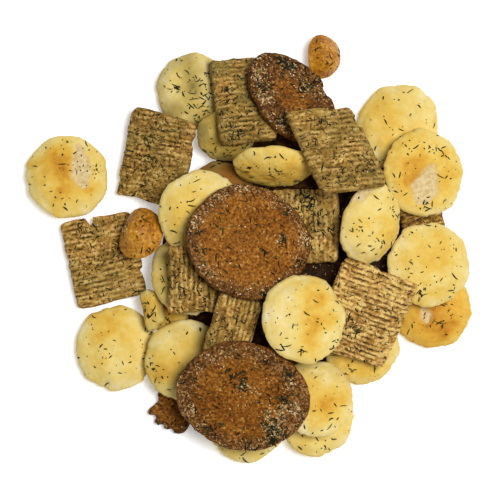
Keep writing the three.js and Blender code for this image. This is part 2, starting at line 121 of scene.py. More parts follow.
# What single pieces show, beyond their kind. Places are right and up from the piece's middle, in
# millimetres, as seen from above.
# toast: browned patches, each a place, a radius and a strength
# split: where the crust is torn off the crumb: the tear's narrow end, its wide end, its half width
# pits: small holes: a place, a radius and a depth
# notch: bites out of the edge: the way to them in degrees, their width in degrees and their depth as
#   a share of the radius, which is negative for a tongue
# dill, grit: where seasoning has gathered: a place, how far it spreads, how many bits
# sparse: the share of the usual grit that lies on it; dusty (dusting and shade): how much green
# seasoning lies on it, and on pieces in shade how far painted shade darkens it
# upright: its shreds run along it, not across; pale: how much paler they are
# crushed: how far its rows are closed up, or opened where it is negative
# groove: trenches across it: the way along to each, its width and its depth
# charred (char and shade): how burnt a chip is, and on chips that lie deep in the heap how far painted
# shade darkens them; rim: the share of the way out at which its dull rim starts
# ragged: how far its edge wanders in, as a share of the radius
LOOKS = {
    "lone_round": dict(
        toast=[(-1.8, 2.5, 6.4, 1.25), (1, -4.5, 5, 0.7)], split=[(3.3, 10.2, 5, -3.3, 3.7)],
        dill=[(4.5, 3, 3, 8), (8.5, 1, 2, 7), (-1, 8, 2.5, 6)]),
    "right_toasted_round": dict(
        toast=[(-3.4, 0.6, 6.8, 1.25), (5, -2, 5, 0.5)], split=[(1.5, 3, -2, -8.8, 4.7)],
        dill=[(2.1, 6.6, 2.6, 12), (-0.3, -9.4, 1.4, 7), (-3, 9, 2.5, 5)]),
    "upper_right_round": dict(toast=[(-3, 4, 6, 0.45), (5, -3, 4, 0.2)], dill=[(3.5, -5, 1, 3)]),
    "topmost_round": dict(
        toast=[(3.8, 6, 3.4, 0.8), (2.8, -2, 3.8, 1), (2, -6.5, 3, 0.5), (-6, -2, 4, -0.4)],
        pits=[(-5.7, -2.7, 1.2, 0.5), (-7, -4.2, 0.7, 0.4)],
        dill=[(9.3, -7.8, 1.8, 11), (-1.2, -9.9, 1.6, 7), (-7, -8, 1.5, 5)]),
    "standing_round": dict(toast=[(0, -1, 13, 0.6)], dill=[(0, 4, 6, 14), (8, -2, 2, 6)]),
    # This cracker lies in deep shade: its very strong toast and its heavy dusting are partly painted
    # shade.
    "toasted_round": dict(dust_and_shade=1.3, toast=[(0, 0, 16, 3.6)]),
    "right_round": dict(
        toast=[(-1, 2, 6, 0.55), (6, 6, 4, 0.5), (0, -9, 4, 0.5)],
        dill=[(-3, -9, 1.8, 11), (-6.5, -1, 1.2, 4), (6.5, -7, 1.5, 5)]),
    "right_split_round": dict(
        toast=[(0, 0, 16, 1.1), (5, -3, 6, 0.3)], split=[(-3.2, 2, -1.6, -3.6, 2)],
        dill=[(3, -3, 3, 8), (5, 2, 2, 5)]),
    "left_low_round": dict(toast=[(-1.5, 7, 4.5, 0.9), (2, -1, 7, 0.35)], dill=[(9.5, 6, 1.3, 5)]),
    "layered_round": dict(
        dust_and_shade=0.45, toast=[(-5.5, -3.5, 4.5, 0.8), (-3, 3, 6, 0.2)],
        dill=[(-10.5, -2, 2, 9), (4, 8, 3, 6)]),
    "lower_right_round": dict(toast=[(2.2, -2.2, 4.6, 1.05), (-4, 4, 4, 0.2)], dill=[(6, -6, 2.5, 5)]),
    "under_square_round": dict(toast=[(2, -5, 8, 0.75)]),
    "crescent_round": dict(toast=[(-3, 2, 5.5, 0.45)], dill=[(-4, 4, 2, 5)]),
    "propped_round": dict(
        toast=[(2.5, 0, 4.5, 0.5)], split=[(0.5, 11.5, -5, 7.5, 1.8)],
        dill=[(-5, -1, 2, 8), (1, -5, 2.5, 10), (6, 3, 1.5, 5)]),
    # The heavy dusting of the next three crackers, which lie in the shade of the squares over them, is
    # partly painted shade.
    "upper_left_round": dict(
        toast=[(-2, 2, 6, -0.1)], pits=[(-5.1, 0.6, 1.5, 1.5)],
        dill=[(-5.1, 0.6, 1, 16), (4, -4, 3, 18), (1, -7, 2, 10), (3, 2, 6, 30)], dust_and_shade=1.2),
    "broken_round": dict(toast=[(0, 0, 6, 0.9)], dust_and_shade=1.1, dill=[(0, -2, 5, 40)]),
    "shaded_round": dict(toast=[(0, 0, 6, 0.1)], dust_and_shade=0.6, dill=[(-7, -3, 3, 8)]),
    "left_bit": dict(
        ragged=0.05, notch=[(262, 40, -0.2)], toast=[(0, 0, 5, 0.7)], dust_and_shade=0.6, dill=[(0, -2, 2, 8)]),
    "right_bit": dict(ragged=0.05, toast=[(0, 0, 5, 0.7)], dust_and_shade=0.9, dill=[(0, -3, 2, 9)]),
    "bottom_round": dict(dill=[(0, -9.5, 3, 6)]),
    "lower_right_low_round": dict(dill=[(2, -9, 3, 6)]),
    "upper_left_square": dict(
        ragged=0.05, crushed=0.15, groove=[(9.6, 1.8, 1.2), (11.9, 1, 0.7)], dust_and_shade=0.65,
        dill=[(-2, 6, 5, 40), (-1, -2, 5, 30)], notch=[(16, 7, 0.05), (205, 8, 0.05)]),
    "top_square": dict(ragged=0.02, dust_and_shade=1, dill=[(-2, -10, 4, 60), (-4, 0, 4, 30)]),
    "upper_right_square": dict(
        ragged=0.035, crushed=0.3, dust_and_shade=0.85, notch=[(40, 9, 0.1)],
        dill=[(-3.7, 7.3, 2.4, 16), (2.7, -9.4, 3.2, 22), (0, -1.5, 2, 8), (7, -3.7, 2.2, 10),
            (9.6, -6.5, 1.6, 8), (-3.8, -8.6, 1.6, 10)]),
    "left_square": dict(
        ragged=0.018, crushed=0.05, pale=0.08, dust_and_shade=0.6, notch=[(112, 7, 0.17), (-12, 5, 0.04)],
        dill=[(-6, 9, 4, 22), (0, 0, 8, 25)]),
    "middle_square": dict(
        ragged=0.02, upright=True, pale=0.1, dust_and_shade=0.6, dill=[(1, 8, 4.5, 95), (4, 0, 4, 45)]),
    "tucked_square": dict(dust_and_shade=0, pale=-0.3, crushed=0.6, dill=[(0, 0, 4, 10)]),
    "upright_grain_square": dict(
        ragged=0.02, upright=True, dust_and_shade=0.5, dill=[(-5, 2, 3.5, 30), (2, -4, 4, 20)]),
    "small_square": dict(ragged=0.03, upright=True, dust_and_shade=0.5, dill=[(0, 0, 5, 20)]),
    "lower_right_square": dict(
        dust_and_shade=0.1, pale=0.24, crushed=-0.25, dill=[(-3, -3.7, 2, 20), (-4, 6, 3, 8)],
        notch=[(70, 5, 0.03)]),
    "middle_chip": dict(
        dill=[(10.6, 8, 1.2, 14), (9.4, 0.3, 1.6, 16), (-14.8, -2.7, 2, 14), (-14.2, -8.3, 2.2, 16),
            (15.5, -7, 2, 12), (4, -15, 2, 8)],
        grit=[(-16.8, 5.6, 2, 60), (16.6, 1.5, 2.2, 70), (-13.5, -9, 2.6, 60), (9.6, 0.6, 1.6, 26),
            (10, 12.5, 2.5, 40), (-9, 13, 2.5, 40), (-2, 16, 3, 40), (8, -14, 3, 30)]),
    "lower_chip": dict(
        rim=0.62,
        dill=[(9.4, -8.8, 2.8, 76), (14.2, 7.1, 1.6, 24), (13, -0.3, 1.8, 34), (9.4, -13, 1.8, 34),
            (0.3, 4.7, 2.4, 34), (-3.8, 7.7, 1.6, 16), (-10.6, -9.1, 1.6, 14), (3, -14.5, 2.4, 14)],
        grit=[(9.4, -8.8, 2.8, 260), (12, -4.5, 2, 90), (14, 4, 2, 50), (13, -2.3, 2.2, 60),
            (16.6, -3, 2, 60), (1.3, 4, 2.6, 60), (-15.6, -3.5, 2, 60), (8, -4, 3, 50),
            (-8, 12, 3, 40), (3, -15.5, 3, 50)]),
    "top_chip": dict(
        rim=0.3, char_and_shade=0.14, notch=[(22, 12, 0.1), (200, 10, 0.04)],
        dill=[(-2.5, 9.1, 2.4, 44), (2.9, 3.2, 2.6, 40), (8, 6, 2.6, 26), (-9, 2, 2.4, 26),
            (-4, -8, 2.4, 24), (6, -5, 2.6, 20)],
        grit=[(-10, 7, 2.6, 110), (-8.5, 0, 2.4, 100), (-3.5, -8, 2.6, 100), (2.9, 3.2, 3, 90),
            (-1, 9, 3, 70), (9, 1, 3, 60), (5, -8, 3, 70)]),
    # These two chips lie deep in the heap: their near-black char is mostly painted shade.
    "dark_chip": dict(char_and_shade=0.95, sparse=0.35, dill=[(-2, 8, 3, 26)]),
    "hidden_chip": dict(char_and_shade=0.93, sparse=0.4),
    "chip_shard": dict(
        char_and_shade=0.15, ragged=0.06,
        notch=[(162, 26, 0.2), (205, 10, 0.16), (236, 9, 0.14), (262, 8, 0.1)]),
    "left_nugget": dict(dill=[(2, 2.5, 1.2, 8)], grit=[(-4.5, 1, 1.8, 26)]),
    "top_nugget": dict(grit=[(0, 2, 3, 14)]),
}


# ---- Noise: numbers that wander smoothly from place to place, the same in every run

def lattice(ix, iy, iz, seed):
    """A number from 0 to 1 for each whole point, stirred from its three places and the seed."""
    stirred = (ix * 374761393 + iy * 668265263 + iz * 1440662683 + seed * 974634777) & 0xFFFFFFFF
    stirred = ((stirred ^ (stirred >> 13)) * 1274126177) & 0xFFFFFFFF
    return ((stirred ^ (stirred >> 16)) & 0xFFFFFF) / 0xFFFFFF


def noise(x, y, size, seed, z=0.0):
    """Smooth noise from -1 to 1: the lattice's numbers at points size apart, blended between them
    with the curve 3t^2 - 2t^3 along each of the three ways."""
    x, y, z = np.broadcast_arrays(np.asarray(x, float) / size, np.asarray(y, float) / size, z)
    floors = [np.floor(v).astype(np.int64) for v in (x, y, z)]
    shares = [v - f for v, f in zip((x, y, z), floors)]
    shares = [t * t * (3 - 2 * t) for t in shares]
    total = 0.0
    for corner in range(8):
        steps = [(corner >> bit) & 1 for bit in range(3)]
        weight = 1.0
        for t, step in zip(shares, steps):
            weight = weight * (t if step else 1 - t)
        total = total + weight * lattice(*[f + step for f, step in zip(floors, steps)], seed)
    return 2 * total - 1


def step_up(value, low, high):
    """0 below low and 1 above high, with a smooth step between."""
    t = np.clip((value - low) / (high - low), 0, 1)
    return t * t * (3 - 2 * t)


# ---- The plain forms

def edge_at(kind, angle):
    """The radius of an edge as a share of the half sizes: a superellipse, which passes from a disc
    to a square as squareness grows, with a few soft lobes."""
    form = KINDS[kind]
    n = form["squareness"]
    corner = np.abs(np.cos(angle)) ** n + np.abs(np.sin(angle)) ** n
    return corner ** (-1 / n) * (1 - form["lobe"] + form["lobe"] * np.cos(form["lobes"] * angle))


def rise_at(kind, share, side):
    """The height of a plain form at a share of the way out to its edge, above or below its plane:
    full in the middle, and less with a power of the share down to half the edge's thickness."""
    form = KINDS[kind]
    full = form["crown"] if side > 0 else form["belly"]
    return side * (form["edge"] + (full - form["edge"]) * (1 - share ** form["fullness"]))


class Piece:
    """One piece of the heap: what it is, where it lies and how its own frame is turned."""

    def __init__(self, number, row):
        self.name, self.kind, self.x, self.y, self.across, self.along, self.turn = row[:7]
        extras = row[7] if len(row) > 7 else {}
        self.lean = extras.get("lean")
        self.skew = extras.get("skew", 0.0)
        self.seed = 100 + 40 * number
        self.look = LOOKS.get(self.name, {})
        self.pose = np.eye(3)
        self.lift = 0.0

    def plane_point(self, across, along, z):
        """Places near the middle plane, given as shares of the half sizes: a skewed piece's places
        move sideways with their way along it."""
        y = self.along / 2 * along
        return np.stack(np.broadcast_arrays(self.across / 2 * across + self.skew * y, y, z), axis=-1)

    def placed(self, points):
        """Points of the piece's own frame, turned, leaned and put where the piece lies. What would
        pass into the ground is worn flat."""
        placed = points @ self.pose.T + np.array([self.x, self.y, self.lift])
        placed[:, 2] = np.maximum(placed[:, 2], 0)
        return placed

    def from_above(self, dx, dy):
        """The place of the piece's own plane that is seen dx right and dy up from its middle."""
        return np.linalg.solve(self.pose[:2, :2], np.array([dx, dy]))


def pose_of(turn, slope):
    """The matrix that turns a piece about its axis and then leans its crown the slope's way."""
    angle = math.radians(turn)
    turning = np.array([[math.cos(angle), -math.sin(angle), 0],
                        [math.sin(angle), math.cos(angle), 0],
                        [0, 0, 1]])
    steepness = math.hypot(*slope)
    if steepness == 0:
        return turning
    ax, ay = -slope[1] / steepness, slope[0] / steepness
    lean = math.atan(steepness)
    cross = np.array([[0, 0, ay], [0, 0, -ax], [-ay, ax, 0]])
    return (np.eye(3) + math.sin(lean) * cross + (1 - math.cos(lean)) * cross @ cross) @ turning


# ---- Laying the heap

def mound_height(distance):
    """The mound's height at a distance from its middle: a cosine dome with a steep foot."""
    share = np.minimum(1, distance / CRUMB_BED["radius"])
    return CRUMB_BED["height"] * np.cos(math.pi / 2 * share) ** BED_FOOT


def side_points(piece, side):
    """Points spread evenly over one side of a plain form, a few more on each ring than on the last."""
    steps = np.maximum(1, RING_GROWTH * np.arange(RINGS + 1))
    ring = np.repeat(np.arange(RINGS + 1), steps)
    first = np.repeat(np.cumsum(steps) - steps, steps)
    angle = TAU * (np.arange(len(ring)) - first) / steps[ring]
    share = ring / RINGS
    reach = share * edge_at(piece.kind, angle)
    height = rise_at(piece.kind, share, side)
    return piece.plane_point(reach * np.cos(angle), reach * np.sin(angle), height)


class Field:
    """The heights of what already lies there, one number for each cell of a square."""

    def __init__(self):
        middles = (np.arange(int(2 * FIELD_HALF / CELL)) + 0.5) * CELL - FIELD_HALF
        x, y = np.meshgrid(middles - CRUMB_BED["x"], middles - CRUMB_BED["y"])
        self.heights = mound_height(np.hypot(x, y))

    def cells(self, piece, points):
        column = np.floor((points[:, 0] + piece.x + FIELD_HALF) / CELL).astype(int)
        row = np.floor((points[:, 1] + piece.y + FIELD_HALF) / CELL).astype(int)
        return row, column

    def rest_height(self, piece, belly, pose):
        """How high the middle of a posed piece stays when it is let down on what lies there."""
        points = belly @ pose.T
        return float(np.max(self.heights[self.cells(piece, points)] - points[:, 2]))

    def settled_slope(self, piece, belly):
        """The slope at which a piece lies lowest, found by trying ways round the best slope so far
        with ever smaller changes, as a loose piece rocks until it comes to rest."""
        best = (0.0, 0.0)
        lowest = self.rest_height(piece, belly, pose_of(piece.turn, best))
        change = FIRST_CHANGE
        while change > LAST_CHANGE:
            moved = True
            while moved:
                moved = False
                for way in range(WAYS):
                    angle = TAU * way / WAYS
                    slope = (best[0] + change * math.cos(angle), best[1] + change * math.sin(angle))
                    if math.hypot(*slope) > STEEPEST:
                        continue
                    height = self.rest_height(piece, belly, pose_of(piece.turn, slope))
                    if height < lowest - LEAST_DROP:
                        lowest, best, moved = height, slope, True
            change /= 2
        return best

    def lay_down(self, piece):
        """Lays a piece on the heap and raises the heights by its crown."""
        belly = side_points(piece, -1)
        if piece.lean:
            way, angle = (math.radians(v) for v in piece.lean)
            slope = (math.tan(angle) * math.cos(way), math.tan(angle) * math.sin(way))
        else:
            slope = self.settled_slope(piece, belly)
        piece.pose = pose_of(piece.turn, slope)
        piece.lift = self.rest_height(piece, belly, piece.pose)
        crown = side_points(piece, 1) @ piece.pose.T
        np.maximum.at(self.heights, self.cells(piece, crown), crown[:, 2] + piece.lift)


def laid_pieces():
    """All the pieces, laid one after the other."""
    pieces = [Piece(number, row) for number, row in enumerate(PIECES)]
    field = Field()
    for piece in pieces:
        field.lay_down(piece)
    return pieces


# ---- Worn edges and relief: what the plain forms leave out

CRACKERS = ("oyster", "bit")
CHIPS = ("rye", "shard")
CRACKER_SIDES = 8  # a soda cracker is cut out as a many-sided tile and puffs up nearly round
SIDES_KEPT = 0.45  # how much of the tile's straight sides is left, from 0 for a disc to 1
NICK_DEPTH = 0.027  # how deep a cracker's edge is nibbled, as a share of the radius
WHEAT_PITCH = 1.5  # from one row of shreds to the next
ROW_STEP = 0.03  # how far back a row of shreds may end, as a share of the half size
BEAD_LENGTH = 1.05  # how long the open parts of a slit are
ROWS_APART = 7.3  # how far apart two rows read the noise, so that their slits differ
SLIT_WIDTH = 0.20
FIBRE_LENGTH = 2.2
FIBRE_WIDTH = 0.5
TEAR_END = 1.08  # where a tear closes, as a share of the way from its narrow to its wide end

# How each kind's edge is worn: how much of the plain edge there is at most, its chips, each a depth, a
# size and the number of its noise, and the depth and the size of a slow wander
NIBBLED = (1.030, [(0.012, 0.40, 1), (0.007, 0.05, 0)], 0.0, 0.5)
STEPPED = (1.012, [(0.007, 0.12, 4), (0.005, 0.04, 0)], 0.01, 0.42)
CHIPPED = (1.020, [(0.014, 0.35, 5), (0.010, 0.12, 0), (0.007, 0.05, 7)], 0.0, 0.5)
EDGES = {"oyster": NIBBLED, "bit": NIBBLED, "wheat": STEPPED, "rye": CHIPPED, "shard": CHIPPED,
         "nugget": CHIPPED}

# How far each relief is sunk, so that its highest bumps hardly pass the plain form
CRUST_SINK = 0.15
WEAVE_SINK = 0.55
GRIT_SINK = 0.45
MEAL_SINK = 0.7


def bumps(piece, x, y, side, *sets):
    """The sum of some of a piece's own noises, each a height, a size and the number that tells it
    from the piece's others. side tells the crown's from the belly's, and is 0 where both share one."""
    return sum(height * noise(x, y, size, piece.seed + number, side) for height, size, number in sets)


def worn_edge(piece, angle):
    """How much of the plain edge is left at an angle. A cracker's edge is that of a rounded octagon
    with small nibbles, a square's is stepped where its rows of shreds end, the others' are chipped.
    Only a tongue passes 1 by more than 3 parts in 100, so a piece hardly leaves its solid."""
    cx, cy = np.cos(angle), np.sin(angle)
    left, chips, ragged, wander = EDGES[piece.kind]
    if piece.kind in CRACKERS:
        aside = (angle + piece.seed) % (TAU / CRACKER_SIDES) - math.pi / CRACKER_SIDES
        cut = 1 - math.cos(math.pi / CRACKER_SIDES) / np.cos(aside)
        nicks = step_up(noise(cx, cy, 0.11, piece.seed + 2), 0.15, 0.75)
        left = left - SIDES_KEPT * cut - NICK_DEPTH * nicks
    elif piece.kind == "wheat":
        along = piece.across * cx if piece.look.get("upright") else piece.along * cy
        row = np.floor(along / 2 * edge_at(piece.kind, angle) / WHEAT_PITCH + 0.5).astype(np.int64)
        ending = lattice(row, np.sign(cx).astype(np.int64), 0 * row, piece.seed + 3)
        left = left - ROW_STEP * ending ** 2
    for depth, size, number in chips + [(piece.look.get("ragged", ragged), wander, 8)]:
        left = left - depth * (1 + noise(cx, cy, size, piece.seed + number))
    for way, width, depth in piece.look.get("notch", []):
        apart = np.abs((angle - math.radians(way - piece.turn) + math.pi) % TAU - math.pi)
        left = left - depth * step_up(1 - apart / math.radians(width), 0, 0.7)
    return left


def share_at(piece, x, y):
    """How far out to the worn edge a place is, from 0 in the middle to 1."""
    nx, ny = (x - piece.skew * y) / (piece.across / 2), y / (piece.along / 2)
    angle = np.arctan2(ny, nx)
    return np.hypot(nx, ny) / (edge_at(piece.kind, angle) * worn_edge(piece, angle))


def torn_at(piece, x, y):
    """How much of the crust is torn away at a place, from 0 to 1: a drop shape that widens quickly
    from its narrow end and is round at its wide end, with a ragged edge."""
    torn = np.zeros(np.shape(x))
    for nx, ny, wx, wy, half_width in piece.look.get("split", []):
        start, end = piece.from_above(nx, ny), piece.from_above(wx, wy)
        length = math.hypot(*(end - start))
        way = (end - start) / length
        along = ((x - start[0]) * way[0] + (y - start[1]) * way[1]) / length
        aside = np.abs((x - start[0]) * -way[1] + (y - start[1]) * way[0])
        narrow, wide = np.clip(1.4 * along, 0, 1), np.clip((TEAR_END - along) / 0.4, 0, 1)
        room = half_width * narrow ** 0.6 * np.sqrt(wide)
        room = room + bumps(piece, x, y, 0, (0.35, 1.6, 9), (0.2, 0.6, 10))
        torn = np.maximum(torn, step_up(room - aside, -0.5, 0.9) * (along > 0) * (along < TEAR_END))
    return torn


def pits_at(piece, x, y):
    """How deep the small holes of a crust are at a place: a bell of each one's radius."""
    depth = np.zeros(np.shape(x))
    for px, py, radius, full in piece.look.get("pits", []):
        cx, cy = piece.from_above(px, py)
        depth = depth + full * np.exp(-((x - cx) ** 2 + (y - cy) ** 2) / (0.5 * radius ** 2))
    return depth


def oyster_relief(piece, share, x, y, side):
    """A puffed cracker: broad swells and dents, small blisters, a thin pinched rim and, where the
    crust is torn, a shallow rough hollow."""
    swell = bumps(piece, x, y, side, (0.45, 7.5, 0), (0.27, 3.2, 11))
    blisters = bumps(piece, x, y, side, (0.11, 1.6, 12)) + bumps(piece, x, y, 0, (0.04, 0.8, 13))
    pinch = (0.3 + bumps(piece, x, y, 0, (0.3, 4.0, 35))) * step_up(share, 0.74, 0.95)
    height = side * (swell * (1 - share ** 6) + blisters - pinch - CRUST_SINK)
    if side > 0:
        crumb = 0.62 + bumps(piece, x, y, 0, (0.26, 1.2, 14), (0.12, 0.5, 15))
        height = height - torn_at(piece, x, y) * crumb - pits_at(piece, x, y)
    return height


def shreds(piece, x, y, side=1):
    """The weave of a wheat square at a place: how open the slit between two rows is, from 0 to 1,
    and how high on its shred the place is, from 0 to 1 before the piece's paleness is added. The rows
    wander a little, and a slit opens and closes along its row, more in some parts than in others."""
    if piece.look.get("upright"):
        x, y = y, x
    row = (y + bumps(piece, x, y, side, (0.40, 8.0, 16), (0.12, 2.4, 17))) / WHEAT_PITCH
    nearest = np.round(row)
    apart = np.abs(row - nearest) * WHEAT_PITCH
    beads = noise(x / BEAD_LENGTH, nearest * ROWS_APART, 1.0, piece.seed + 18, side)
    shown = beads + bumps(piece, x, y, 0, (0.75, 5.0, 19)) - piece.look.get("crushed", 0.0)
    slit = step_up(shown, 0.10, 0.50) * np.exp(-(apart / SLIT_WIDTH) ** 2)
    fine = 0.5 + 0.5 * noise(x / FIBRE_LENGTH, y / FIBRE_WIDTH, 1.0, piece.seed + 20, side)
    crest = np.clip(apart / (WHEAT_PITCH / 2), 0, 1) ** 0.7
    return slit, np.clip(0.30 * crest + 0.80 * fine - 0.05, 0, 1) + piece.look.get("pale", 0.0)


def groove_at(piece, x, y):
    """How deep the wide grooves of a square are at a place: each is a trench across the whole square
    at a way along it, which wanders and opens and closes."""
    depth = np.zeros(np.shape(x))
    for along, width, full in piece.look.get("groove", []):
        path = along + 0.8 * noise(x, 0 * x, 5.0, piece.seed + 37)
        part = step_up(noise(x, 0 * x, 3.5, piece.seed + 38), -0.5, 0.2)
        depth = depth + full * part * np.exp(-((y - path) / (0.5 * width)) ** 2)
    return depth


def wheat_relief(piece, share, x, y, side):
    """A shredded square: slits between its rows, round shreds and fine fibres on them, hollows and
    swells of the whole sheet, and grains where it is crushed."""
    slit, crest = shreds(piece, x, y, side)
    swell = bumps(piece, x, y, side, (0.45, 7.0, 21), (0.28, 3.0, 22)) * (1 - share ** 6)
    grains = bumps(piece, x, y, side, (0.20, 1.1, 23), (0.14, 0.6, 36))
    grooves = groove_at(piece, x, y) if side > 0 else 0.0
    return side * (0.14 * crest - 0.70 * slit + swell + grains - grooves - WEAVE_SINK)


def rye_relief(piece, share, x, y, side):
    """A rye chip: dents and lumps, the grit of baked coarse flour, and a warp across the chip."""
    lumps = bumps(piece, x, y, side, (0.32, 5.0, 24), (0.15, 2.0, 25), (0.12, 0.95, 26), (0.08, 0.5, 27))
    warp = 0.30 * np.sin(x / 9.0 + piece.seed) * (1 - share ** 2)
    return side * (lumps - GRIT_SINK) * (1 - 0.4 * share ** 8) + warp


def nugget_relief(piece, share, x, y, side):
    """A corn nugget: a knobbly lump, coated in meal."""
    lumps = bumps(piece, x, y, side, (0.70, 4.2, 28), (0.20, 1.6, 29), (0.10, 0.7, 30))
    return side * (lumps - MEAL_SINK) * (1 - share ** 3)


RELIEFS = {"oyster": oyster_relief, "bit": oyster_relief, "wheat": wheat_relief, "rye": rye_relief,
           "shard": rye_relief, "nugget": nugget_relief}
# The share of the way out to its edge at which each kind of piece begins to round off
ROUNDING = {"oyster": 0.93, "bit": 0.93, "wheat": 0.965, "rye": 0.955, "shard": 0.9, "nugget": 0.3}


def surface_height(piece, x, y, side):
    """The height of a piece's crown or belly over its own x and y: the plain form with its relief,
    rounded off towards the edge by a quarter circle."""
    share = np.minimum(share_at(piece, x, y), 1)
    start = ROUNDING[piece.kind]
    past = np.clip((share - start) / (1 - start), 0, 1)
    relief = RELIEFS[piece.kind](piece, share, x, y, side)
    return (rise_at(piece.kind, share, side) + relief) * np.sqrt(1 - past ** 2)


# ---- Meshes

# How each round kind is meshed: how far apart its rings are, and how many spokes it has for each ring
MESHES = {"oyster": (0.36, 2.8), "bit": (0.36, 2.8), "rye": (0.24, 2.6), "shard": (0.24, 2.6),
          "nugget": (0.30, 3.5)}
BELLY_COARSER = 4  # how many times fewer rings a belly has than its crown
FEWEST_RINGS = 6
SQUARE_CELL = (0.31, 0.22)  # the sides of a cell of a square's crown, across and along it
TINY = 1e-9  # keeps a division by zero away from a sheet's middle


def quads_of(grid):
    """The quads between the neighbouring rows and columns of a grid of points' numbers."""
    return np.stack([grid[:-1, :-1], grid[1:, :-1], grid[1:, 1:], grid[:-1, 1:]], axis=-1).reshape(-1, 4)


def on_side(piece, x, y, side):
    """The points of a piece's crown or belly over these places of its plane."""
    return np.stack([x, y, surface_height(piece, x, y, side)], axis=1)


def sheet_places(piece, rings, spokes):
    """Places on one side of a round piece: the middle, then rings of places from the inside out,
    closer together towards the edge."""
    share = np.sin(np.arange(1, rings + 1) / rings * math.pi / 2) ** 0.8
    angle = np.arange(spokes) / spokes * TAU
    reach = share[:, None] * edge_at(piece.kind, angle) * worn_edge(piece, angle)
    x, y, _ = piece.plane_point(reach * np.cos(angle), reach * np.sin(angle), 0.0).reshape(-1, 3).T
    return np.append(0.0, x), np.append(0.0, y)


def sheet_faces(rings, spokes, first, edge=None):
    """Faces of one side of a round piece: a fan of triangles round the middle, then quads from ring
    to ring. Where the last ring belongs to the other side, edge names its points."""
    index = first + 1 + np.arange(rings * spokes).reshape(rings, spokes)
    if edge is not None:
        index[-1] = edge
    closed = np.append(index, index[:, :1], axis=1)
    fan = np.stack([np.full(spokes, first), closed[0, :-1], closed[0, 1:]], axis=1)
    return fan, quads_of(closed), index[-1]


def closed_faces(crown_rings, belly_rings, spokes):
    """Faces of a crown's sheet and of a belly's, joined along the crown's last ring."""
    fan, quads, edge = sheet_faces(crown_rings, spokes, 0)
    under_fan, under_quads, _ = sheet_faces(belly_rings, spokes, 1 + crown_rings * spokes, edge)
    return [fan, quads, under_fan[:, ::-1], under_quads[:, ::-1]]


def round_mesh(piece):
    """A closed round piece: its crown's sheet and its coarser belly's, joined along the edge.
    Returns the points of both, in its own frame, and its faces."""
    apart, spokes = MESHES[piece.kind]
    rings = round(max(piece.across, piece.along) / 2 / apart)
    spokes = round(rings * spokes)
    belly_rings = max(FEWEST_RINGS, rings // BELLY_COARSER)
    crown = on_side(piece, *sheet_places(piece, rings, spokes), 1)
    x, y = (places[:-spokes] for places in sheet_places(piece, belly_rings, spokes))
    return crown, on_side(piece, x, y, -1), closed_faces(rings, belly_rings, spokes)


def square_mesh(piece):
    """A closed square piece: a fine grid for its crown and one half as fine for its belly, both
    pulled from a rectangle to the piece's outline. Along the edge each long step of the belly's grid
    and the two short steps of the crown's close up with a triangle."""
    sides = zip((piece.across, piece.along), SQUARE_CELL)
    columns, rows = (2 * round(size / cell / 2) for size, cell in sides)
    u, v = np.meshgrid(np.linspace(-1, 1, columns + 1), np.linspace(-1, 1, rows + 1))
    far = np.maximum(np.abs(u), np.abs(v))
    angle = np.arctan2(v, u)
    reach = far * edge_at(piece.kind, angle) * worn_edge(piece, angle) / np.maximum(np.hypot(u, v), TINY)
    x, y, _ = piece.plane_point(u * reach, v * reach, 0.0).reshape(-1, 3).T
    grid = np.arange(u.size).reshape(u.shape)
    inner = grid[2:-2:2, 2:-2:2]
    under = grid[::2, ::2].copy()
    under[1:-1, 1:-1] = grid.size + np.arange(inner.size).reshape(inner.shape)
    rim = np.concatenate([grid[0, :-1], grid[:-1, -1], grid[-1, :0:-1], grid[:0:-1, 0]])
    corners = np.stack([rim[::2], np.roll(rim, -2)[::2], rim[1::2]], axis=1)
    inner = inner.ravel()
    belly = on_side(piece, x[inner], y[inner], -1)
    return on_side(piece, x, y, 1), belly, [quads_of(grid.T), quads_of(under), corners]


def linked(name, data):
    """A new object of the scene that shows the given mesh, light or camera."""
    made = bpy.data.objects.new(name, data)
    bpy.context.scene.collection.objects.link(made)
    return made


def mesh_object(name, points, face_sets, attributes, smooth=True):
    """An object from points in millimetres and arrays of triangles or quads, with named numbers for
    its points that the material reads."""
    mesh = bpy.data.meshes.new(name)
    loops = np.concatenate([faces.ravel() for faces in face_sets])
    sizes = np.concatenate([np.full(len(faces), faces.shape[1]) for faces in face_sets])
    mesh.vertices.add(len(points))
    mesh.vertices.foreach_set("co", (points * MM).astype(np.float32).ravel())
    mesh.loops.add(len(loops))
    mesh.loops.foreach_set("vertex_index", loops.astype(np.int32))
    mesh.polygons.add(len(sizes))
    mesh.polygons.foreach_set("loop_start", (np.cumsum(sizes) - sizes).astype(np.int32))
    mesh.polygons.foreach_set("use_smooth", np.full(len(sizes), smooth))
    for label, values in attributes.items():
        layer = mesh.attributes.new(label, "FLOAT", "POINT")
        layer.data.foreach_set("value", values.astype(np.float32))
    mesh.update(calc_edges=True)
    mesh.validate()
    return linked(name, mesh)


def joined(parts):
    """Many parts' points, faces and attributes as one, with the faces' numbers moved on."""
    points, triangles, quads, attributes, first = [], [], [], {}, 0
    for part_points, part_faces, part_attributes in parts:
        points.append(part_points)
        for faces in part_faces:
            (triangles if faces.shape[1] == 3 else quads).append(faces + first)
        for label, values in part_attributes.items():
            attributes.setdefault(label, []).append(values)
        first += len(part_points)
    face_sets = [np.concatenate(group) for group in (triangles, quads) if group]
    return np.concatenate(points), face_sets, {k: np.concatenate(v) for k, v in attributes.items()}


def finished(made, material):
    """A piece with its finish, which rides on the heap's body and stands for the heap's solid."""
    made.data.materials.append(material)
    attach(made, "root")
    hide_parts(NODE)


# ---- Materials

def colour(code):
    """An sRGB hex colour as the linear numbers that a shader takes."""
    parts = [int(code[i:i + 2], 16) / 255 for i in (1, 3, 5)]
    return tuple(c / 12.92 if c <= 0.04045 else ((c + 0.055) / 1.055) ** 2.4 for c in parts) + (1.0,)


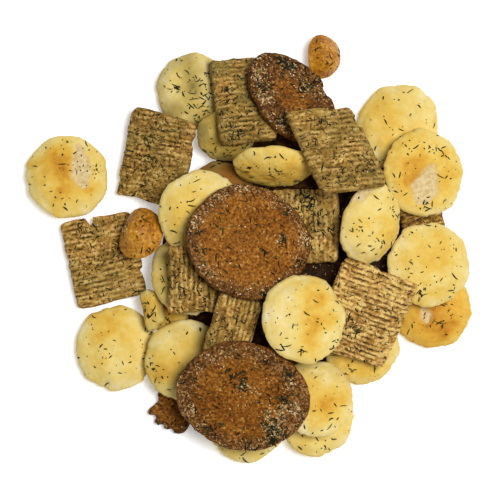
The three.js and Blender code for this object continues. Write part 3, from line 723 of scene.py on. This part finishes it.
def add(tree, kind, sockets=None, out=0, stops=(), **settings):
    """Adds a shader node with its settings, fills its sockets with values or links, sets the colours
    of its ramp at their places, and returns one of its outputs."""
    made = tree.nodes.new("ShaderNode" + kind)
    for name, value in settings.items():
        setattr(made, name, value)
    for socket, value in (sockets or {}).items():
        if isinstance(value, bpy.types.NodeSocket):
            tree.links.new(value, made.inputs[socket])
        else:
            made.inputs[socket].default_value = value
    for number, (place, code) in enumerate(stops):
        elements = made.color_ramp.elements
        element = elements[number] if number < 2 else elements.new(place)
        element.position = place
        element.color = colour(code)
    return made.outputs[out] if len(made.outputs) else None


COLOURS = dict(out=2, data_type="RGBA")  # what makes a Mix node mix colours, and its output for them
FEATURE = 0.5  # how large, in metres, the features of a noise of scale 1 are


def start_material(name, patterns, *read):
    """An empty material and what its colours are worked out from. Each of its patterns is a noise over
    the object's own places, given by the size of its features in millimetres and its detail, and
    read names the numbers that the mesh holds for its points. Returns the material, its node tree,
    the noises and the numbers."""
    made = bpy.data.materials.new(name)
    made.use_nodes = True
    tree = made.node_tree
    tree.nodes.clear()
    place = add(tree, "TexCoord", out="Object")
    noises = [add(tree, "TexNoise", {"Vector": place, "Scale": FEATURE / (size * MM), "Detail": detail})
              for size, detail in patterns]
    numbers = [add(tree, "Attribute", out="Fac", attribute_name=label) for label in read]
    return made, tree, *noises, *numbers


def end_material(tree, skin, roughness, height, depth_mm, shine=0.15):
    """The shader of a dry porous surface, which hardly shines: its colour, its roughness and a bump
    depth_mm deep. Returns the shader's node."""
    normal = add(tree, "Bump", {"Height": height, "Distance": depth_mm * MM})
    shader = add(tree, "BsdfPrincipled", {"Base Color": skin, "Roughness": roughness,
                                          "Specular IOR Level": shine, "Normal": normal})
    add(tree, "OutputMaterial", {"Surface": shader})
    return shader.node


def baked_soda_cracker():
    """Baked soda cracker: a thin dry wheat crust, straw yellow where it stayed cool and golden brown
    where it touched the heat. It is matt with a faint broad shine, and shows pale crumb where torn.
    toast, torn and the third number say how browned, how torn and how dusted with seasoning a place is;
    on crackers in shade the dusting and a very strong toast also stand for painted shade."""
    made, tree, clouds, freckles, toast, torn, dust_shade = start_material(
        "baked_soda_cracker", [(2.6, 4.0), (0.6, 3.0)], "toast", "torn", "dust_and_shade")
    for pattern, gain in ((clouds, 0.44), (freckles, 0.36)):
        uneven = add(tree, "Math", {0: pattern, 1: gain, 2: -gain / 2}, operation="MULTIPLY_ADD")
        toast = add(tree, "Math", {0: toast, 1: uneven}, operation="ADD")
    skin = add(tree, "ValToRGB", {"Fac": toast},
               stops=[(0.0, "#E8D7A4"), (0.2, "#E1C97A"), (0.42, "#DDB955"), (0.66, "#D4A238"),
                      (0.86, "#BE8020"), (1.0, "#8A500E")])
    crumb = add(tree, "ValToRGB", {"Fac": freckles}, stops=[(0.35, "#C4A870"), (0.65, "#DCC694")])
    # The olive mix is green seasoning, and painted shade where a cracker lies in shade.
    dust_shade = add(tree, "Math", {0: dust_shade, 1: clouds}, operation="MULTIPLY")
    for share, shown in ((torn, crumb), (dust_shade, colour("#7C6C36"))):
        skin = add(tree, "Mix", {0: share, 6: skin, 7: shown}, **COLOURS)
    end_material(tree, skin, 0.7, freckles, 0.18)
    return made


def shredded_wheat():
    """Shredded wholewheat: dry woven shreds, bran-brown and golden in patches, matt and rough. Their
    crests are painted a lighter tan, as painted light, and the slits between rows brown, as painted
    shade. crest and slit say where a place is in the weave, and the third number how much green
    seasoning dusting it holds, with painted shade on squares that lie in shade."""
    made, tree, fibres, patches, bran, crest, slit, dust_shade = start_material(
        "shredded_wheat", [(0.45, 3.0), (2.2, 3.0), (0.7, 2.0)], "crest", "slit", "dust_and_shade")
    level = -0.55
    # The crest number lightens the tops of the shreds, as painted light, together with the fibres' own
    # tone.
    for value, gain in ((fibres, 1.1), (crest, 0.60), (patches, 0.36)):
        level = add(tree, "Math", {0: value, 1: gain, 2: level}, operation="MULTIPLY_ADD")
    straw = add(tree, "ValToRGB", {"Fac": level},
                stops=[(0.15, "#5E451C"), (0.34, "#8A6A30"), (0.54, "#B48C48"), (0.80, "#E2C688")])
    hue = add(tree, "ValToRGB", {"Fac": patches}, stops=[(0.35, "#B48F54"), (0.65, "#B2A646")])
    flecks = add(tree, "MapRange", {0: bran, 1: 0.58, 2: 0.66, 3: 0.0, 4: 0.6})
    dust_shade = add(tree, "Math", {0: dust_shade, 1: fibres}, operation="MULTIPLY")
    skin = add(tree, "Mix", {0: 0.35, 6: straw, 7: hue}, blend_type="OVERLAY", **COLOURS)
    # 48300F in the slits is painted shade; #5E5A28 is green seasoning, and painted shade on squares in
    # shade.
    for share, code in ((flecks, "#7A5230"), (slit, "#48300F"), (dust_shade, "#5E5A28")):
        skin = add(tree, "Mix", {0: share, 6: skin, 7: colour(code)}, **COLOURS)
    end_material(tree, skin, 0.85, fibres, 0.4)
    return made


def rye_crispbread():
    """Rye crispbread: coarse dark flour baked hard, amber brown with paler and darker grits, duller
    and darker at the rim. Matt, with a little oil shine. rim says how near the rim a place is, and
    the last number how burnt the chip is, with painted shade on chips that lie deep in the heap."""
    made, tree, grit, clouds, rim, char_and_shade = start_material(
        "rye_crispbread", [(0.42, 2.0), (4.0, 3.0)], "rim", "char_and_shade")
    grit.node.inputs["Roughness"].default_value = 0.6
    level = add(tree, "Math", {0: clouds, 1: 0.35, 2: -0.175}, operation="MULTIPLY_ADD")
    level = add(tree, "Math", {0: grit, 1: level}, operation="ADD")
    skin = add(tree, "ValToRGB", {"Fac": level},
               stops=[(0.28, "#4E2A0A"), (0.42, "#74420E"), (0.53, "#885214"), (0.64, "#9E6824"),
                      (0.78, "#C4924E")])
    burnt = add(tree, "ValToRGB", {"Fac": level},
                stops=[(0.28, "#281506"), (0.45, "#4E2E10"), (0.58, "#70461C"), (0.74, "#A47A4A")])
    # 261100 is burnt crust, and painted shade on the chips that lie deep in the heap.
    for share, shown in ((rim, burnt), (char_and_shade, colour("#261100"))):
        skin = add(tree, "Mix", {0: share, 6: skin, 7: shown}, **COLOURS)
    end_material(tree, skin, 0.65, grit, 0.35, 0.1)
    return made


def toasted_corn():
    """Toasted corn: a hard golden orange crust coated in meal, with a slight oily shine."""
    made, tree, meal, clouds = start_material("toasted_corn", [(0.5, 3.0), (3.0, 2.0)])
    level = add(tree, "Math", {0: clouds, 1: 0.7, 2: -0.35}, operation="MULTIPLY_ADD")
    level = add(tree, "Math", {0: meal, 1: level}, operation="ADD")
    crust = add(tree, "ValToRGB", {"Fac": level},
                stops=[(0.25, "#8A4E08"), (0.50, "#B47614"), (0.75, "#D49E38")])
    end_material(tree, crust, 0.55, meal, 0.3, 0.3)
    return made


def dark_crumbs_as_shade():
    """Loose crumbs of crust and crumb, matt, darkened almost to black as painted shade for the deep gaps
    of the heap in which they show.
    """
    made, tree, grit = start_material("dark_crumbs_as_shade", [(1.0, 3.0)])
    crumbs = add(tree, "ValToRGB", {"Fac": grit},
                 stops=[(0.35, "#1C0E04"), (0.55, "#3C2208"), (0.75, "#6E4A20")])
    end_material(tree, crumbs, 0.85, grit, 0.5)
    return made


def dried_dill():
    """Dried dill weed: thin leaf slivers, almost black green, matt. shade differs from sliver to
    sliver."""
    made, tree, veins, shade = start_material("dried_dill", [(0.3, 2.0)], "shade")
    leaf = add(tree, "ValToRGB", {"Fac": shade},
               stops=[(0.0, "#0F120B"), (0.6, "#1E2214"), (0.85, "#343A1C"), (1.0, "#56602C")])
    end_material(tree, leaf, 0.75, veins, 0.1)
    return made


def seasoning_grit():
    """Seasoning: grains and flakes of dried onion, salt and meal, cream to tan, slightly shiny.
    shade differs from grain to grain."""
    made, tree, facets, shade = start_material("seasoning_grit", [(0.3, 2.0)], "shade")
    grain = add(tree, "ValToRGB", {"Fac": shade},
                stops=[(0.0, "#5E5430"), (0.3, "#94743E"), (0.6, "#BE9660"), (0.85, "#D6BC8C"),
                       (1.0, "#E8DAB6")])
    end_material(tree, grain, 0.5, facets, 0.1, 0.35)
    return made


# ---- The heap's pieces

PLAIN_TOAST = 0.27  # how browned the crust is away from its patches, on the material's own scale
PATCH_TOAST = 0.40  # how much more browned it is in a patch of strength 1
COOL_RIM = 0.06  # how much less it is at the rim
USUAL_PATCH = [(0, 0, 8, 0.4)]  # the patch of a cracker that LOOKS gives none
RIM_WIDTH = 0.23  # the share of the way out over which a chip's rim grows dull
RIM_DULL = 0.85  # how dull it is in the end, from 0 to 1
LIGHT_DUST = 0.08  # the green dust of a piece that LOOKS gives none


def toast_at(piece, x, y, share):
    """How browned the crust is: its patches, which fade out as bells do over uneven distances, a
    cool rim and an uneven ground."""
    toast = PLAIN_TOAST + bumps(piece, x, y, 0, (0.10, 6.0, 31), (0.06, 2.6, 39), (0.03, 1.2, 40))
    uneven = 1 + bumps(piece, x, y, 0, (0.35, 4.0, 32), (0.2, 1.5, 41))
    for px, py, radius, strength in piece.look.get("toast", USUAL_PATCH):
        cx, cy = piece.from_above(px, py)
        distance = np.hypot(x - cx, y - cy) * uneven
        toast = toast + PATCH_TOAST * strength * np.exp(-(distance / radius) ** 2)
    return toast - COOL_RIM * step_up(share, 0.70, 0.92)


def piece_part(piece):
    """One piece's placed points, its faces, and what its material reads."""
    crown, belly, faces = (square_mesh if piece.kind == "wheat" else round_mesh)(piece)
    points = np.concatenate([crown, belly])
    x, y = points[:, 0], points[:, 1]
    share = share_at(piece, x, y)
    values = {}
    if piece.kind in CRACKERS:
        values["toast"] = toast_at(piece, x, y, share)
        values["torn"] = torn_at(piece, x, y) * (np.arange(len(x)) < len(crown))
    elif piece.kind == "wheat":
        # The material paints the crests of the shreds lighter and the slits dark: painted light and
        # painted shade.
        values["slit"], values["crest"] = shreds(piece, x, y)
    elif piece.kind in CHIPS:
        start = piece.look.get("rim", 0.70)
        uneven = share + bumps(piece, x, y, 0, (0.05, 3.0, 33))
        values["rim"] = step_up(uneven, start, start + RIM_WIDTH) * RIM_DULL
        values["char_and_shade"] = np.full(len(x), piece.look.get("char_and_shade", 0.0))
    if piece.kind in CRACKERS or piece.kind == "wheat":
        patchy = 0.7 + bumps(piece, x, y, 0, (0.6, 5.0, 34))
        # The dusting is green seasoning, with painted shade on pieces that lie in shade.
        values["dust_and_shade"] = piece.look.get("dust_and_shade", LIGHT_DUST) * np.clip(patchy, 0, 2)
    return piece.placed(points), faces, values


# Where crumbs have run out further between the pieces, so that these gaps show the crumbs' painted shade
# and
#  not the bright floor: the way there and the width of the tongue, both in degrees, and how far it
#      reaches as a
#  share of the mound's radius
CRUMB_TONGUES = [(40, 13, 0.32), (-4, 10, 0.12), (91, 20, 0.12), (-62, 16, 0.10), (-144, 14, 0.10)]
CRUMB_RINGS = 40
CRUMB_SPOKES = 120
MOUND_REACH = 0.98  # how far out the mound goes away from its tongues, as a share of its radius
LEAST_CRUMBS = 0.05  # how high the thinnest crumbs lie


def crumb_bed_part(rings=CRUMB_RINGS, spokes=CRUMB_SPOKES):
    """The mound of crumbs: a lumpy dome, which runs out further between some pieces, over a flat
    underside. Its dark colour is painted shade for the gaps of the heap."""
    share = np.append(0, np.repeat(np.arange(1, rings + 1) / rings, spokes))
    angle = np.append(0, np.tile(np.arange(spokes) / spokes * TAU, rings))
    reach = np.full(len(angle), MOUND_REACH)
    for way, width, further in CRUMB_TONGUES:
        apart = (np.degrees(angle) - way + 180) % 360 - 180
        reach = reach + further * np.exp(-(apart / width) ** 2)
    radius = share * reach * CRUMB_BED["radius"]
    x, y = radius * np.cos(angle), radius * np.sin(angle)
    height = mound_height(share * CRUMB_BED["radius"])
    lumps = 0.9 * noise(x, y, 3.0, 5) + 0.5 * noise(x, y, 1.4, 6) - 0.7
    height = np.maximum(LEAST_CRUMBS, height + lumps * step_up(height, 0, 2))
    height[-spokes:] = 0
    crown = np.stack([x, y, height], axis=1)
    under = np.stack([x[:-spokes], y[:-spokes], 0 * x[:-spokes]], axis=1)
    points = np.concatenate([crown, under]) + [CRUMB_BED["x"], CRUMB_BED["y"], 0]
    return points, closed_faces(rings, rings, spokes), {}


# ---- Seasoning

# What each kind of piece holds: how many dill slivers, leaf specks and grains lie on each square
# centimetre, how many more grains on one along its rim, and the share of its size to which dill broke up
HELD = {
    "oyster": (3.0, 3.5, 0.8, 0, 1),
    "bit": (6.0, 8.0, 2.0, 0, 1),
    "wheat": (17.0, 26.0, 40.0, 0, 0.88),
    "rye": (9.0, 14.0, 18.0, 40.0, 1),
    "shard": (12.0, 14.0, 14.0, 14.0, 1),
    "nugget": (9.0, 9.0, 18.0, 0, 1),
}
RIM_BAND = (0.76, 0.99)  # where rim grains lie, as shares of the way out
OUTERMOST = 0.97  # nothing else lies further out than this share of the way
SEED = 20  # of all that is strewn at random
SLIVER_LENGTH = (2.6, 0.45)  # the shape and the scale, in millimetres, of a gamma distribution
SLIVER_LIMITS = (0.45, 2.9)
SLIVER_WIDTH = (0.34, 0.58)
SPECK_WIDTH = (0.2, 0.38)
GRAIN_SIZE = (0.18, 0.42)
GATHERED_LARGER = 1.35  # gathered grains are larger by this
SLOPE_STEP = 0.35  # over how many millimetres the slope under a bit is read
STATIONS = np.array([-0.5, -0.17, 0.17, 0.5])  # along a sliver, as shares of its length
FATNESS = np.array([0.35, 1.0, 0.95, 0.3])  # how wide it is there
BEND = 0.09  # how far slivers usually bend aside, as a share of their length
FLATNESS = 0.6  # how thick a sliver is for its width
FLAKE = ([0.35, 0.25, 0.25], [1.3, 0.6, 0.5])  # the least and the most of a grain's three half axes


def scattered(piece, per_cm2, rng, inner=0.0, outer=OUTERMOST):
    """Random places evenly all over a piece, in its own frame, between two shares of the way out to
    its edge. per_cm2 counts them for each square centimetre of the whole piece."""
    count = round(per_cm2 * piece.across * piece.along / 100)
    angle = rng.uniform(0, TAU, count)
    share = np.sqrt(rng.uniform(inner ** 2, outer ** 2, count))
    edge = share * edge_at(piece.kind, angle) * worn_edge(piece, angle)
    x, y, _ = piece.plane_point(edge * np.cos(angle), edge * np.sin(angle), 0.0).T
    return x, y


def gathered(piece, what, rng):
    """Random places round those where a seasoning has gathered, kept off what lies past the edge."""
    x, y = np.zeros(0), np.zeros(0)
    for px, py, spread, count in piece.look.get(what, []):
        cx, cy = piece.from_above(px, py)
        x = np.append(x, cx + rng.normal(0, spread / 1.6, count))
        y = np.append(y, cy + rng.normal(0, spread / 1.6, count))
    return np.stack([x, y])[:, share_at(piece, x, y) < OUTERMOST]


def seats(piece, x, y):
    """Where bits at these places of a crown sit, and which way is out of the surface there: the
    slope is read over a small step, and a bit lies halfway up to the highest point it spans."""
    z, right, far = (surface_height(piece, x + dx, y + dy, 1)
                     for dx, dy in ((0, 0), (SLOPE_STEP, 0), (0, SLOPE_STEP)))
    out = np.stack([(z - right) / SLOPE_STEP, (z - far) / SLOPE_STEP, np.ones(len(x))], axis=1)
    out /= np.linalg.norm(out, axis=1, keepdims=True)
    top = np.maximum(z, 0.5 * (np.maximum(right, far) + z))
    return piece.placed(np.stack([x, y, top], axis=1)), out @ piece.pose.T


def beside(out, rng):
    """Two ways along the surface, at right angles to each other and turned at random."""
    guide = rng.normal(size=out.shape)
    first = guide - np.sum(guide * out, axis=1, keepdims=True) * out
    first /= np.linalg.norm(first, axis=1, keepdims=True)
    return first, np.cross(out, first)


def sliver_part(spots, out, rng, length, width):
    """Leaf slivers: a three-sided section carried along a bent path of four stations, thinner at
    both ends, one sliver at each spot."""
    count = len(spots)
    along, aside = beside(out, rng)
    corner = np.arange(3) * TAU / 3
    bend = rng.normal(0, BEND, (count, 1)) * length[:, None]
    path = (STATIONS * length[:, None])[:, :, None] * along[:, None, :]
    path = path + (STATIONS ** 2 * 4 * bend)[:, :, None] * aside[:, None, :]
    path = path + spots[:, None, :] + (0.28 * width)[:, None, None] * out[:, None, :]
    half = 0.5 * width[:, None, None] * FATNESS[None, :, None]
    across = (half * np.cos(corner))[..., None] * aside[:, None, None, :]
    upward = (half * FLATNESS * np.sin(corner))[..., None] * out[:, None, None, :]
    points = (path[:, :, None, :] + across + upward).reshape(-1, 3)
    index = np.arange(12).reshape(4, 3)
    quads = quads_of(np.append(index, index[:, :1], axis=1).T)
    caps = np.stack([index[0][::-1], index[3]])
    first = index.size * np.arange(count)[:, None, None]
    shade = np.repeat(rng.uniform(0, 1, count), index.size)
    return points, [(caps + first).reshape(-1, 3), (quads + first).reshape(-1, 4)], {"shade": shade}


def grain_part(spots, out, rng, size):
    """Grains and flakes: an octahedron with uneven half axes at each spot, half sunk in."""
    count = len(spots)
    along, aside = beside(out, rng)
    halves = rng.uniform(*FLAKE, (count, 3)) * size[:, None]
    axes = np.stack([along, aside, out], axis=1) * halves[..., None]
    corners = np.array([[1, 0, 0], [0, 1, 0], [-1, 0, 0], [0, -1, 0], [0, 0, 1], [0, 0, -1]], float)
    points = (spots[:, None, :] + corners @ axes).reshape(-1, 3)
    faces = np.array([[0, 1, 4], [1, 2, 4], [2, 3, 4], [3, 0, 4],
                      [1, 0, 5], [2, 1, 5], [3, 2, 5], [0, 3, 5]])
    shade = np.repeat(rng.uniform(0, 1, count), 6)
    return points, [(faces + 6 * np.arange(count)[:, None, None]).reshape(-1, 3)], {"shade": shade}


def seasoning(pieces):
    """Dill slivers, leaf specks and grains of grit on every crown, as dense as each kind of piece
    holds them, and thicker where a piece's look says that they gathered."""
    rng = np.random.default_rng(SEED)
    dill, grit = [], []
    for piece in pieces:
        slivers, specks, grains, rim_grains, finer = HELD[piece.kind]
        x, y = np.append(scattered(piece, slivers, rng), gathered(piece, "dill", rng), axis=1)
        length = finer * rng.gamma(*SLIVER_LENGTH, len(x)).clip(*SLIVER_LIMITS)
        width = finer * rng.uniform(*SLIVER_WIDTH, len(x))
        dill.append(sliver_part(*seats(piece, x, y), rng, length, width))
        x, y = scattered(piece, specks, rng)
        width = rng.uniform(*SPECK_WIDTH, len(x))
        dill.append(sliver_part(*seats(piece, x, y), rng, width * rng.uniform(1, 2, len(x)), width))
        held = piece.look.get("sparse", 1.0)
        loose = scattered(piece, held * grains, rng)
        loose = np.append(loose, scattered(piece, held * rim_grains, rng, *RIM_BAND), axis=1)
        x, y = np.append(loose, gathered(piece, "grit", rng), axis=1)
        size = rng.uniform(*GRAIN_SIZE, len(x))
        size[loose.shape[1]:] *= GATHERED_LARGER
        grit.append(grain_part(*seats(piece, x, y), rng, size))
    return dill, grit


def build_heap():
    """Makes one object of each kind of piece, the crumb bed, whose dark colour is painted shade, and the
    dill and the grit.
    """
    pieces = laid_pieces()
    kinds = [("oyster_crackers", ("oyster", "bit"), baked_soda_cracker(), "cracker"),
             ("wheat_squares", ("wheat",), shredded_wheat(), "wheat_square"),
             ("rye_chips", ("rye", "shard"), rye_crispbread(), "rye_chip"),
             ("corn_nuggets", ("nugget",), toasted_corn(), "corn_nugget")]
    for name, names, material, slot in kinds:
        parts = [piece_part(piece) for piece in pieces if piece.kind in names]
        finished(mesh_object(name, *joined(parts)), material)
    finished(mesh_object("crumb_bed_as_shade", *crumb_bed_part()), dark_crumbs_as_shade())
    dill, grit = seasoning(pieces)
    finished(mesh_object("dill_slivers", *joined(dill)), dried_dill())
    finished(mesh_object("seasoning_grains", *joined(grit), smooth=False), seasoning_grit())


# ---- The studio

# Places and sizes are in metres here.
VIEW_WIDTH = 0.150  # what the photograph spans at the seen height
SEEN_HEIGHT = 0.012  # a usual height of what shows in the photograph
CAMERA_DISTANCE = 1.2  # from the camera down to that height
VIEW_MIDDLE = (0.0006, -0.0002)  # the place in the middle of the photograph
FLOOR_HALF = 3.0  # half the floor's side
KEY_PLACE = (0.32, 0.10, 1.15)
KEY_SIZE = 0.5
KEY_POWER = 14.5  # in watts
SKY_STRENGTH = 0.21
PAPER_GLOW = 0.3  # the paper lies on a lit table, which keeps the shadows on it faint


def build_studio():
    """A wide pale floor, a broad soft light a little to the upper right, a pale sky and a camera
    that looks straight down."""
    half = FLOOR_HALF
    floor_mesh = bpy.data.meshes.new("floor")
    corners = [(-half, -half, 0), (half, -half, 0), (half, half, 0), (-half, half, 0)]
    floor_mesh.from_pydata(corners, [], [(0, 1, 2, 3)])
    floor = linked("floor", floor_mesh)
    paper, tree, fleck = start_material("white_paper", [(2.0, 2.0)])
    shader = end_material(tree, colour("#FCFCFC"), 0.9, fleck, 0.01)
    shader.inputs["Emission Color"].default_value = (1, 1, 1, 1)
    shader.inputs["Emission Strength"].default_value = PAPER_GLOW
    floor_mesh.materials.append(paper)

    world = bpy.data.worlds.new("studio")
    bpy.context.scene.world = world
    world.use_nodes = True
    sky = world.node_tree.nodes["Background"]
    sky.inputs["Color"].default_value = (1, 1, 1, 1)
    sky.inputs["Strength"].default_value = SKY_STRENGTH

    light = bpy.data.lights.new("key", "AREA")
    light.shape = "DISK"
    light.size = KEY_SIZE
    light.energy = KEY_POWER
    key = linked("key", light)
    key.location = KEY_PLACE
    key.rotation_mode = "QUATERNION"
    key.rotation_quaternion = key.location.to_track_quat("Z", "Y")

    lens = bpy.data.cameras.new("camera")
    lens.lens = lens.sensor_width * CAMERA_DISTANCE / VIEW_WIDTH
    camera = linked("camera", lens)
    camera.location = (*VIEW_MIDDLE, CAMERA_DISTANCE + SEEN_HEIGHT)
    bpy.context.scene.camera = camera
    bpy.context.scene.view_settings.view_transform = "Standard"


build_studio()
build_heap()
